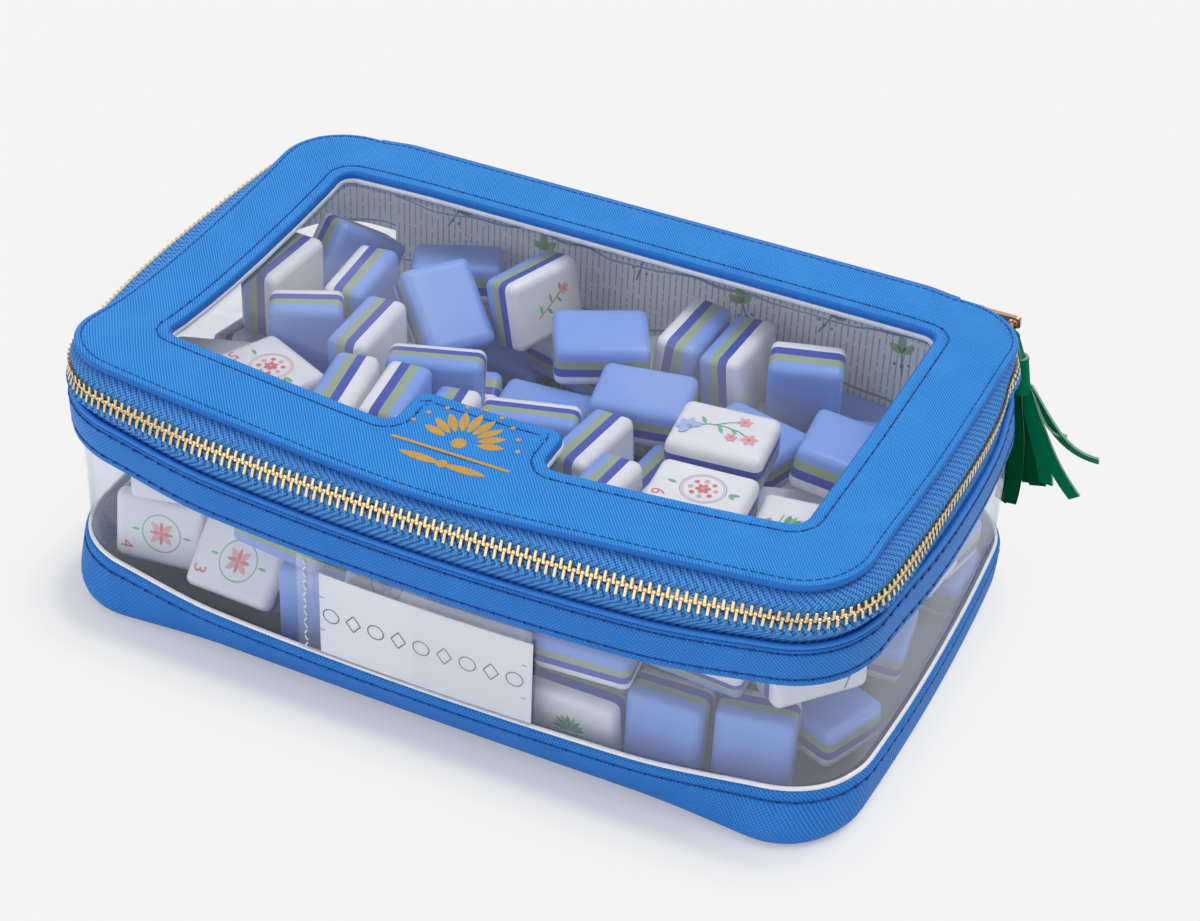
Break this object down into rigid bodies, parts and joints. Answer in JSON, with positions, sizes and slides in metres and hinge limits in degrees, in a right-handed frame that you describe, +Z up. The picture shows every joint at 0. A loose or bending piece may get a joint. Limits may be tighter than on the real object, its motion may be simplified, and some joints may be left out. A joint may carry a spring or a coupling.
{
  "type": "zipped game case",
  "caption": "Leathercloth travel case with clear walls and a clear window lid, closed by a zipper with a tassel, holding a jumble of playing tiles.",
  "frame": {"origin": "middle of the underside, on the surface the case stands on", "axes": "+X along the case to the tassel's end, +Y to the back where the lid is hinged, +Z up"},
  "size_m": [0.3015, 0.1947, 0.099],
  "materials": {
    "leathercloth": "cross-grained, satin",
    "clear_vinyl": "clear, glossy",
    "lining": "printed pale cloth",
    "board": "plain",
    "zipper_tape": "herringbone weave",
    "gold_metal": "polished pale gold",
    "tassel_leather": "matte, raw edges",
    "white_binding": "plain",
    "card": "matte",
    "tile_resin": "satin, layered colours"
  },
  "bodies": {
    "base": {"base_board": "board", "bottom_band": "leathercloth", "bottom_lining": "lining", "bottom_panel": "leathercloth", "back_lining": "lining", "back_panel": "board", "card_pocket": "clear_vinyl", "clear_wall": "clear_vinyl", "corner_tapes": "zipper_tape", "corner_teeth": "gold_metal", "hinge_strip": "leathercloth", "lower_tape": "zipper_tape", "lower_teeth": "gold_metal", "rim_band": "leathercloth", "rim_lining": "lining", "wall_binding": "white_binding", "zipper_stops": "gold_metal", "tiles_below": "tile_resin", "tiles_on_top": "tile_resin"},
    "lid": {"lid_frame": "leathercloth", "lid_window": "clear_vinyl", "lid_lining": "lining", "upper_tape": "zipper_tape", "upper_teeth": "gold_metal"},
    "slider": {"slider": "gold_metal"},
    "puller": {"puller": "gold_metal"},
    "ring": {"ring": "gold_metal"},
    "tassel": {"tassel_cap": "tassel_leather", "tassel_strips": "tassel_leather"},
    "card": {"label_card": "card"}
  },
  "joints": [
    {"name": "lid_fold", "type": "hinge", "parent": "base", "child": "lid", "pos_m": [0, 0.0858, 0.0965], "axis": [-1, 0, 0], "range_deg": [0, 150]},
    {"name": "slider_run", "type": "hinge", "parent": "base", "child": "slider", "pos_m": [0.112, 0.0595, 0.088], "axis": [0, 0, -1], "range_deg": [0, 70]},
    {"name": "puller_flip", "type": "hinge", "parent": "slider", "child": "puller", "pos_m": [0.112, 0.09168, 0.08923], "axis": [0, -0.342, 0.9397], "range_deg": [0, 180]},
    {"name": "ring_swing", "type": "hinge", "parent": "puller", "child": "ring", "pos_m": [0.12635, 0.09168, 0.08923], "axis": [1, 0, 0], "range_deg": [-3, 30]},
    {"name": "tassel_swing", "type": "hinge", "parent": "ring", "child": "tassel", "pos_m": [0.12635, 0.09168, 0.08263], "axis": [0, 1, 0], "range_deg": [-20, 20]},
    {"name": "card_slide", "type": "hinge", "parent": "base", "child": "card", "pos_m": [0, 1.11216, 0.038], "axis": [0, 0, 1], "range_deg": [0, 3.3]}
  ]
}
